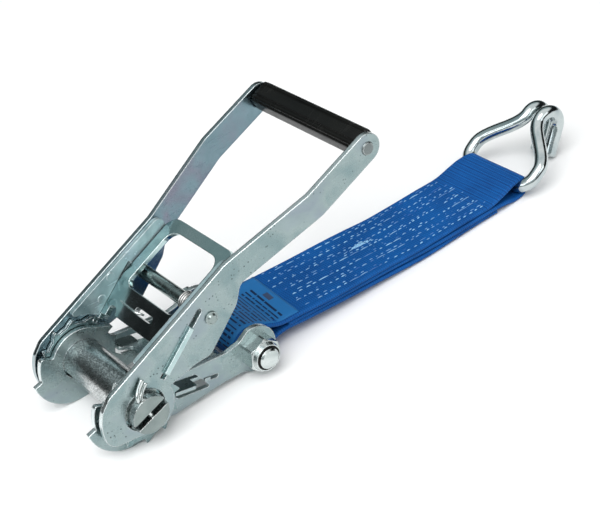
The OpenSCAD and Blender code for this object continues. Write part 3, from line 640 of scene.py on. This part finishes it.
COIL_TURNS = 5
COIL_STEPS = 32
LEVER_COIL_WIRE = 0.75 * MM
LEVER_LEG_WIRE = 0.6 * MM
LOCK_COIL_WIRE = 0.55 * MM
LOCK_COIL_RADIUS = 3.6 * MM
LOCK_COIL_START = 45.65 * MM
LOCK_COIL_SPAN = 9.2 * MM


def coil(name, start, axis, length, radius, wire):
    """A spring's coil of round wire, wound about an axis from its start."""
    axis = axis.normalized()
    side = axis.cross(Vector((0, 0.6, 0.8))).normalized()
    other = axis.cross(side)
    count = COIL_TURNS * COIL_STEPS
    route = []
    for i in range(count + 1):
        a = 2 * math.pi * COIL_TURNS * i / count
        route.append(start + axis * length * i / count + radius * (math.cos(a) * side + math.sin(a) * other))
    return tube(name, route, wire, 10, SPRING)


def make_springs():
    """The lever spring's coil on the cross rod, and the lock pawl's spring, which is squashed by the pawl."""
    low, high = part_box("lever_spring")
    centre = (low + high) / 2
    wire = LEVER_COIL_WIRE
    lever = coil("lever_spring_coil", Vector((centre.x, low.y + wire, centre.z)), Vector((0, 1, 0)),
                 high.y - low.y - 2 * wire, (high.x - low.x) / 2 - wire, wire)
    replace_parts(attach(lever, "handle"), "lever_spring")
    begin, span = DRUM + PAWL_WAY * LOCK_COIL_START, LOCK_COIL_SPAN
    lock = coil("lock_spring_coil", begin, PAWL_WAY, span, LOCK_COIL_RADIUS, LOCK_COIL_WIRE)
    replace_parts(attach(lock, "frame"), "lock_spring")
    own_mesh(lock)


def make_spring_leg():
    """The lever spring's free leg, lying across the lever's web and hooked into its oval slot."""
    up = Vector((-LEVER_WAY.z, 0, LEVER_WAY.x))

    def on_web(along, across, above):
        return DRUM + (LEVER_WAY * along + up * above) * MM + Vector((0, across * MM, 0))

    places = [(38.2, 19.5, 2.2), (37.9, 12, 2.15), (37.8, 6, 2.1), (37.9, 4.2, 1.6), (38.3, 2.6, 0.2),
              (38.6, 1.4, -1.6)]
    route, _ = smooth_path([on_web(*p) for p in places], 0.6 * MM)
    leg = tube("lever_spring_leg", route, LEVER_LEG_WIRE, 12, FASTENER)
    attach(leg, "drive_pawl")


PIN_WIRE = 1.15 * MM
PIN_OUT = Vector((0.334, 0, -0.943))
PIN_TURN = Vector((-0.63, 0, -0.777))


def make_split_pins():
    """Split pins through the drum's ends: two round legs side by side, bent over along the arm's face."""
    for side, name in ((-1, "right"), (1, "left")):
        low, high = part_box("split_pin_" + name)
        level = abs((low.y + high.y) / 2)
        out, turn = side * PIN_OUT, side * PIN_TURN
        flank = Vector((turn.z, 0, -turn.x))

        def at(along_pin, along_leg, across, inward):
            return (DRUM + (out * along_pin + turn * along_leg + flank * across) * MM
                    + Vector((0, side * (level - inward * MM), 0)))

        for number, (shift, reach) in enumerate(((-1.25, 10.6), (1.25, 9.4)), start=1):
            route, _ = smooth_path([at(-9.5, 0, 0.12 * shift, 0), at(0, 0, 0.12 * shift, 0),
                                    at(9.5, 0, 0.4 * shift, 0.1), at(11.0, 1.6, 0.9 * shift, 0.7),
                                    at(11.2, 4.5, shift, 1.6), at(11.2, reach, 1.15 * shift, 1.8)], 0.7 * MM)
            pin = tube("split_pin_%s_leg_%d" % (name, number), route, PIN_WIRE, 18, FASTENER)
            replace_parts(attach(pin, "drum"), "split_pin_" + name)


make_springs()
make_spring_leg()
make_split_pins()


# ---------- hand grip ----------

GROUND_TILT = 8.48
# the grip's wide side, seen from the side of the buckle, which stands tilted on the ground
GRIP_TURN = math.radians(31 - GROUND_TILT)
GRIP_LONG_HALF, GRIP_SHORT_HALF = 7.3 * MM, 6.4 * MM
GRIP_HOLE_RADIUS = 3.3 * MM
GRIP_SQUARENESS = 4.2
GRIP_SIDES = 180
GROOVE_PLACES = [math.radians(degrees) for degrees in (35, 58, 122, 145, 215, 238, 302, 325)]
GROOVE_DEPTH, GROOVE_SPREAD = 0.85 * MM, 0.07
HOLLOW_DEPTH, HOLLOW_START = 0.3 * MM, 0.86


def grip_profile():
    """The grip's section: for each direction round it, the radius and the direction's cosine and sine."""
    profile = []
    for k in range(GRIP_SIDES):
        a = 2 * math.pi * (k + 0.5) / GRIP_SIDES
        c, s = math.cos(a), math.sin(a)
        rounded = abs(c / GRIP_LONG_HALF) ** GRIP_SQUARENESS + abs(s / GRIP_SHORT_HALF) ** GRIP_SQUARENESS
        groove = sum(GROOVE_DEPTH * math.exp(-((a - g) / GROOVE_SPREAD) ** 2) for g in GROOVE_PLACES)
        hollow = HOLLOW_DEPTH * max(0.0, abs(s) - HOLLOW_START) / (1 - HOLLOW_START)
        profile.append((rounded ** (-1 / GRIP_SQUARENESS) - groove - hollow, c, s))
    return profile


def make_grip():
    """Black moulded grip with shallow lengthwise grooves and softly rounded ends."""
    low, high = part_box("hand_grip")
    rod_low, rod_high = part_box("grip_rod")
    profile, count = grip_profile(), GRIP_SIDES

    def at(centre, y, x, z):
        return (centre.x + x * math.cos(GRIP_TURN) - z * math.sin(GRIP_TURN), y,
                centre.z + x * math.sin(GRIP_TURN) + z * math.cos(GRIP_TURN))

    ends = [(0.0, 0.9), (0.35, 0.45), (0.9, 0.12), (1.6, 0.0)]
    stations = [(low.y + d * MM, inset * MM) for d, inset in ends]
    stations += [(y, 0.0) for y in np.linspace(low.y + 6 * MM, high.y - 6 * MM, 13)]
    stations += [(high.y - d * MM, inset * MM) for d, inset in reversed(ends)]
    points = []
    for y, inset in stations:
        points += [at((low + high) / 2, y, (r - inset) * c, (r - inset) * s) for r, c, s in profile]
    faces = [f[::-1] for f in grid_faces(len(stations), count)]
    first = len(points)
    for y in (stations[0][0], stations[-1][0]):
        points += [at((rod_low + rod_high) / 2, y, GRIP_HOLE_RADIUS * c, GRIP_HOLE_RADIUS * s)
                   for _, c, s in profile]
    last_row = (len(stations) - 1) * count
    for k in range(count):
        n = (k + 1) % count
        faces.append((k, n, first + n, first + k))
        faces.append((last_row + n, last_row + k, first + count + k, first + count + n))
        faces.append((first + k, first + n, first + count + n, first + count + k))
    grip = add_mesh("grip_moulding", points, faces, BLACK)
    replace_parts(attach(grip, "handle"), "hand_grip")


make_grip()


# ---------- webbing ----------

WEB_WIDTH = 50 * MM
WEB_THICK = 2.6 * MM
LAYER = 2.8 * MM
EYE_RADIUS = 9.85 * MM
LOOP_RADIUS = 5.75 * MM
WEB_STEP = 1.3 * MM
WEB_COLUMNS = 61
LOOP_NARROWING, LOOP_REACH = 5.0 * MM, 16 * MM
LABEL_LENGTH, LABEL_WIDTH, LABEL_THICK = 54 * MM, 47 * MM, 0.35 * MM
# the stitches' places and sizes are in millimetres
STITCH_ROWS = [-20.5, -13.8, -7.0, 0.0, 7.0, 13.8, 20.5]
STITCH_LENGTH, STITCH_GAP = (1.8, 3.8), (1.0, 2.6)
LONG_LENGTH, LONG_GAP = (4.5, 8.5), (0.3, 0.8)
STITCH_RINGS, STITCH_SIDES = 6, 6


def middle_line(x):
    """Height of the strap's middle line at a place along it."""
    level = Vector((BAIL.x - 17 * MM, 0, 4.35 * MM))
    points = [(BOLT.x, BOLT.z), (FLEX.x, FLEX.z), (level.x, level.z), (BAIL.x, level.z)]
    return float(np.interp(x, [p[0] for p in points], [p[1] for p in points]))


def web_route():
    """The folded band's centreline: middle layer, round the bail, top layer, round the sleeve, lower one."""
    def layer(x, offset):
        return Vector((x, 0, middle_line(x) + offset))

    route = []
    for x in np.linspace(BOLT.x + 27 * MM, BAIL.x - 24 * MM, 12):
        route.append(layer(x, 0))
    route.append(Vector((BAIL.x - 14 * MM, 0, 3.5 * MM)))
    route.append(Vector((BAIL.x - 6 * MM, 0, BAIL.z - LOOP_RADIUS + 0.2 * MM)))
    for turn in range(-90, 91, 20):
        a = math.radians(turn)
        route.append(BAIL + LOOP_RADIUS * Vector((math.cos(a), 0, math.sin(a))))
    route.append(Vector((BAIL.x - 7 * MM, 0, BAIL.z + LOOP_RADIUS - 0.5 * MM)))
    route.append(Vector((BAIL.x - 15 * MM, 0, 10.2 * MM)))
    route.append(Vector((BAIL.x - 22 * MM, 0, 8.2 * MM)))
    for x in np.linspace(BAIL.x - 28 * MM, BOLT.x + 22 * MM, 12):
        route.append(layer(x, LAYER))
    tilt = math.atan2(FLEX.z - BOLT.z, FLEX.x - BOLT.x)
    for turn in range(62, 299, 20):
        a = math.radians(turn) + tilt
        route.append(BOLT + EYE_RADIUS * Vector((math.cos(a), 0, math.sin(a))))
    for x in np.linspace(BOLT.x + 22 * MM, BAIL.x - 22 * MM, 12):
        route.append(layer(x, -LAYER))
    return route


def make_web():
    """The band swept along its route, with soft edges, a slight wave and valleys under the stitches."""
    route, along = smooth_path(web_route(), WEB_STEP)
    ahead = directions(route)
    out = np.stack([-ahead[:, 2], ahead[:, 1], ahead[:, 0]], 1)
    columns = WEB_COLUMNS
    v = np.linspace(-1, 1, columns)
    edge = np.sqrt(np.clip(1 - np.clip((np.abs(v) - 0.965) / 0.035, 0, 1) ** 2, 0, 1))
    half_thick = 0.5 * WEB_THICK * (0.30 + 0.70 * edge)
    points, uvs, ribs = [], [], []
    loop_index = int(np.argmax(route[:, 0]))
    for i, centre in enumerate(route):
        near_loop = math.exp(-((i - loop_index) * WEB_STEP / LOOP_REACH) ** 2)
        width = WEB_WIDTH - LOOP_NARROWING * near_loop
        sway = 0.35 * MM * math.sin(along[i] * 31) + 0.25 * MM * math.sin(along[i] * 83 + 1.0)
        ribbed = float(i > loop_index and centre[0] > BAIL.x - 33 * MM)
        valley = np.zeros(columns)
        if BOLT.x + 24 * MM < centre[0] < BAIL.x - 26 * MM:
            for row in STITCH_ROWS:
                valley += 0.24 * MM * np.exp(-((v * width / 2 - row * MM) / (1.1 * MM)) ** 2)
        curl = 0.25 * MM * np.sin(along[i] * 47 + 2.2 * v) * np.abs(v) ** 3
        y = v * width / 2 + sway
        for sign in (1, -1):
            order = range(columns) if sign > 0 else range(columns - 1, -1, -1)
            for k in order:
                lift = sign * (half_thick[k] - valley[k]) + curl[k]
                points.append((centre[0] + out[i][0] * lift, y[k], centre[2] + out[i][2] * lift))
                uvs.append((along[i], v[k] * width / 2))
                ribs.append(ribbed)
    ring = 2 * columns
    faces = [f[::-1] for f in grid_faces(len(route), ring)]
    for end, flip in ((0, False), (len(route) - 1, True)):
        for k in range(columns - 1):
            a, b = end * ring + k, end * ring + k + 1
            c, d = end * ring + ring - 2 - k, end * ring + ring - 1 - k
            faces.append((a, d, c, b) if flip else (a, b, c, d))
    web = add_mesh("webbing", points, faces, WEB)
    set_values(web, "ribbed", ribs)
    set_uv(web, uvs)
    return web, float(along[-1])


def top_height(x):
    """Height of the strap's upper face, away from both eyes."""
    return middle_line(x) + LAYER + WEB_THICK / 2


class Sewing:
    """Stitches of thread on the strap's upper face, gathered for one mesh."""

    def __init__(self):
        self.points, self.faces, self.tones = [], [], []

    def stitch(self, start, end, radius, tone, height=0.32):
        """One arched stitch between two places, each x in metres and y in millimetres like the sizes."""
        start, end = (Vector((x, y * MM, top_height(x) - 0.20 * MM)) for x, y in (start, end))
        ahead = (end - start).normalized()
        side = Vector((0, 0, 1)).cross(ahead).normalized()
        first = len(self.points)
        for i in range(STITCH_RINGS):
            share = i / (STITCH_RINGS - 1)
            arch = math.sin(math.pi * share)
            centre = start.lerp(end, share) + Vector((0, 0, height * MM * (arch * 1.1 - 0.7)))
            r = radius * MM * (0.55 + 0.45 * arch)
            for k in range(STITCH_SIDES):
                a = 2 * math.pi * k / STITCH_SIDES
                self.points.append(centre + side * r * math.cos(a) + Vector((0, 0, r * math.sin(a))))
                self.tones.append(tone)
        last_ring = first + (STITCH_RINGS - 1) * STITCH_SIDES
        self.faces += [f[::-1] for f in grid_faces(STITCH_RINGS, STITCH_SIDES, first=first)]
        self.faces.append(tuple(first + k for k in range(STITCH_SIDES)))
        self.faces.append(tuple(last_ring + k for k in range(STITCH_SIDES - 1, -1, -1)))


def sew_rows(sewing, rng, first_x, last_x):
    """Two lanes of uneven stitches in each row, long and short, some faded into the band."""
    for row in STITCH_ROWS:
        for lane, share in ((0.0, 1.0), (1.7, 0.62)):
            x = first_x + rng.uniform(-4, 4) * MM
            stop = last_x + rng.uniform(-5, 3) * MM
            drift, long_run, faded = 0.0, 0, 0.0
            while x < stop:
                if long_run > 0:
                    length, gap = rng.uniform(*LONG_LENGTH) * MM, rng.uniform(*LONG_GAP) * MM
                    long_run -= 1
                else:
                    length, gap = rng.uniform(*STITCH_LENGTH) * MM, rng.uniform(*STITCH_GAP) * MM
                    if rng.random() < 0.05:
                        long_run = rng.randint(1, 3)
                drift = 0.8 * drift + rng.uniform(-0.2, 0.2)
                faded = 0.8 * faded + rng.uniform(-0.22, 0.22)
                tone = min(1.0, max(0.0, (0.62 + faded + rng.gauss(0, 0.24)) * (0.55 + 0.45 * share)))
                if rng.random() < share * 0.94:
                    y = row + drift + lane
                    sewing.stitch((x, y), (x + length, y + rng.uniform(-0.25, 0.25)),
                                  rng.uniform(0.28, 0.40), tone)
                x += length + gap


def sew_strays(sewing, rng, first_x, last_x):
    """Faint slanted bits of thread between the rows."""
    for low, high in zip(STITCH_ROWS[:-1], STITCH_ROWS[1:]):
        x = first_x + rng.uniform(4, 22) * MM
        while x < last_x - 8 * MM:
            if rng.random() < 0.40:
                y = rng.uniform(low + 2.4, high - 1.2)
                slant = rng.choice((-1.3, 1.3)) * rng.uniform(0.4, 1.0)
                sewing.stitch((x, y), (x + rng.uniform(1.4, 2.6) * MM, y + slant),
                              rng.uniform(0.18, 0.26), rng.uniform(0.05, 0.5))
            x += rng.uniform(4, 12) * MM


def sew_frayed_thread(sewing, rng):
    """A white tuft of loose strands, and the three stitches that lead to it."""
    fray_x, fray_y = FLEX.x - 27 * MM, 4.6
    strands, bends = 22, 4
    for _ in range(strands):
        x = fray_x + rng.uniform(0, 8) * MM
        y = fray_y + rng.uniform(-0.5, 0.7)
        for _ in range(bends):
            step = rng.uniform(1.8, 3.6) * MM
            turn = rng.uniform(-0.7, 0.7)
            sewing.stitch((x, y), (x + step, y + turn), 0.22, rng.uniform(0.85, 1.0),
                          height=rng.uniform(0.5, 1.2))
            x, y = x + step * 0.8, y + turn
    for number in range(3):
        x = fray_x - (7 - 4 * number) * MM
        sewing.stitch((x, fray_y - 0.9), (x + 5.5 * MM, fray_y - 0.3), 0.26, 0.8)


def make_stitches():
    """All the sewing on the strap's upper face; the tone attribute says how white each stitch is."""
    rng = random.Random(7)
    sewing = Sewing()
    first_x, last_x = BOLT.x + 43 * MM, BAIL.x - 26 * MM
    sew_rows(sewing, rng, first_x, last_x)
    sew_strays(sewing, rng, first_x, last_x)
    sew_frayed_thread(sewing, rng)
    piece = add_mesh("strap_stitching", sewing.points, sewing.faces, THREAD)
    set_values(piece, "tone", sewing.tones)
    return piece


def label_guide():
    """Places that the label passes: from behind the strap's eye, over it and out along the upper face."""
    tilt = math.atan2(FLEX.z - BOLT.z, FLEX.x - BOLT.x)
    start = math.radians(175) + tilt
    guide = []
    for turn in (0.0, 0.4, 0.8, 1.2, 1.6, 1.96):
        spoke = Vector((math.cos(start - turn), 0, math.sin(start - turn)))
        guide.append(BOLT + (EYE_RADIUS + WEB_THICK / 2) * spoke)
    guide.append(Vector((BOLT.x + 13 * MM, 0, BOLT.z + 6.4 * MM)))
    guide += [Vector((BOLT.x + d * MM, 0, top_height(BOLT.x + d * MM))) for d in (22, 31, 41)]
    return guide


def make_label():
    """Thin woven label lying on the upper face, its inner end wrapped over the eye."""
    rows, columns = 36, 24
    points, uvs = [], []
    route, along = smooth_path(label_guide(), 0.5 * MM)
    ahead = directions(route)
    for top in (1, 0):
        for i in range(rows):
            s = LABEL_LENGTH * i / (rows - 1)
            x, z = np.interp(s, along, route[:, 0]), np.interp(s, along, route[:, 2])
            out_x, out_z = -np.interp(s, along, ahead[:, 2]), np.interp(s, along, ahead[:, 0])
            for k in range(columns):
                share = 2 * k / (columns - 1) - 1
                slant = 1.5 * MM * share * i / (rows - 1)
                wave = 0.12 * MM * math.sin(9 * share + 0.25 * i) * abs(share)
                lift = (0.15 * MM + LABEL_THICK if top else 0.10 * MM) + wave
                y = share * LABEL_WIDTH / 2
                points.append((x + slant + out_x * lift, y - 0.2 * MM, z + out_z * lift))
                uvs.append((s, y))
    size = rows * columns
    faces = grid_faces(rows, columns, closed_columns=False)
    faces += [tuple(size + index for index in f[::-1]) for f in faces]
    rim = list(range(columns))
    rim += [i * columns + columns - 1 for i in range(1, rows)]
    rim += [(rows - 1) * columns + k for k in range(columns - 2, -1, -1)]
    rim += [i * columns for i in range(rows - 2, 0, -1)]
    for p, q in zip(rim, rim[1:] + rim[:1]):
        faces.append((q, p, p + size, q + size))
    faces = [f[::-1] for f in faces]
    label = add_mesh("sewn_label", points, faces, printed_label("printed_label", LABEL_LENGTH, LABEL_WIDTH))
    set_uv(label, uvs)
    return label


def make_strap():
    """The strap: webbing and stitches that bend from its near link to its far one, and the label."""
    web, length = make_web()
    sewing = make_stitches()
    label = make_label()
    for piece in (web, sewing):
        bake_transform(piece)
    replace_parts(web, "strap_near", "strap_far")
    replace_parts(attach(label, "strap_near"), "strap_label")


make_strap()


# ---------- floor, light, camera ----------

def make_floor():
    """A wide sheet of pale paper just under the object."""
    m = Surface("floor_paper")
    where = m.where()
    cloud = m.noise(where, 3, 2)
    colour = m.ramp(cloud, [(0.3, (0.90, 0.90, 0.90)), (0.7, (0.93, 0.93, 0.93))])
    m.set(Base_Color=colour, Roughness=0.9, Normal=m.bump(m.noise(where, 500, 2), 0.02, 0.2 * MM))
    half = 6.0
    floor = add_mesh("floor", [(-half, -half, 0), (half, -half, 0), (half, half, 0), (-half, half, 0)],
                     [(0, 1, 2, 3)], m.material, smooth=False)
    floor.location.z = CAD_BOX[0].z - 0.05 * MM


def make_world():
    """A studio with dark flats behind the object, a teal grey band above them, a dark flag low in front
    on the right, and bright cloth overhead and in the rest of the front."""
    world = bpy.data.worlds.new("studio")
    bpy.context.scene.world = world
    studio = Nodes(world)
    where = studio.add("ShaderNodeTexCoord").outputs["Generated"]
    split = studio.add("ShaderNodeSeparateXYZ", {0: where})
    right, back, up = split.outputs[0], split.outputs[1], split.outputs[2]
    behind = studio.ramp(up, [
        (0.0, (0.30, 0.33, 0.33)), (0.03, (0.025, 0.03, 0.03)), (0.56, (0.04, 0.05, 0.05)),
        (0.64, (0.26, 0.33, 0.34)), (0.80, (0.42, 0.50, 0.51)), (0.88, (1.0, 1.0, 1.0))])
    front = studio.ramp(up, [
        (0.0, (0.45, 0.49, 0.49)), (0.18, (0.22, 0.25, 0.26)), (0.40, (0.70, 0.76, 0.77)),
        (0.62, (1.0, 1.0, 1.0)), (1.0, (1.0, 1.0, 1.0))])
    flag = studio.math("MULTIPLY", studio.range(right, -0.28, -0.02), studio.range(up, 0.66, 0.50))
    front = studio.mix(flag, front, (0.012, 0.014, 0.015))
    colour = studio.mix(studio.range(back, -0.1, 0.35), front, behind)
    background = studio.tree.nodes["Background"]
    studio.tree.links.new(colour, background.inputs["Color"])
    background.inputs["Strength"].default_value = 1.0


def add_lamp(light):
    """A new lamp for a light's data."""
    lamp = bpy.data.objects.new(light.name, light)
    bpy.context.scene.collection.objects.link(lamp)
    return lamp


def add_softbox(name, source, aim, size, power, colour=(1, 1, 1)):
    """A rectangle of light, which looks from its source to its aim."""
    light = bpy.data.lights.new(name, "AREA")
    light.shape = "RECTANGLE"
    light.size, light.size_y = size
    light.energy = power
    light.color = colour
    lamp = add_lamp(light)
    lamp.location = source
    lamp.rotation_euler = (Vector(aim) - Vector(source)).to_track_quat("-Z", "Y").to_euler()


def add_sun(name, source, strength):
    """Wide soft daylight from a direction."""
    light = bpy.data.lights.new(name, "SUN")
    light.energy = strength
    light.angle = math.radians(50)
    add_lamp(light).rotation_euler = Vector(source).to_track_quat("Z", "Y").to_euler()


CAMERA_PLACE = (-0.37714, -0.57374, 0.48402)
CAMERA_TURN_DEGREES = (55.1595, 9.3833, -38.1544)
CAMERA_LENS = 86.62


def make_camera():
    """The camera where the photograph was taken from."""
    data = bpy.data.cameras.new("camera")
    data.sensor_width = 36
    data.lens = CAMERA_LENS
    data.clip_start, data.clip_end = 0.05, 50
    camera = bpy.data.objects.new("camera", data)
    bpy.context.scene.collection.objects.link(camera)
    camera.location = CAMERA_PLACE
    camera.rotation_euler = tuple(math.radians(a) for a in CAMERA_TURN_DEGREES)
    bpy.context.scene.camera = camera


make_floor()
make_world()
add_softbox("softbox_top", (-0.7, -0.5, 1.5), (0.1, 0.2, 0), (1.2, 1.0), 7)
add_sun("daylight", (-0.45, -0.40, 1.0), 1.15)
add_softbox("softbox_left", (-1.5, -0.1, 0.9), (0, 0, 0.05), (0.9, 0.9), 5, (0.95, 0.98, 1.0))
add_softbox("softbox_front", (0.5, -1.4, 0.8), (0, 0, 0.03), (1.0, 0.6), 3)
make_camera()
bpy.context.scene.view_settings.view_transform = "Standard"
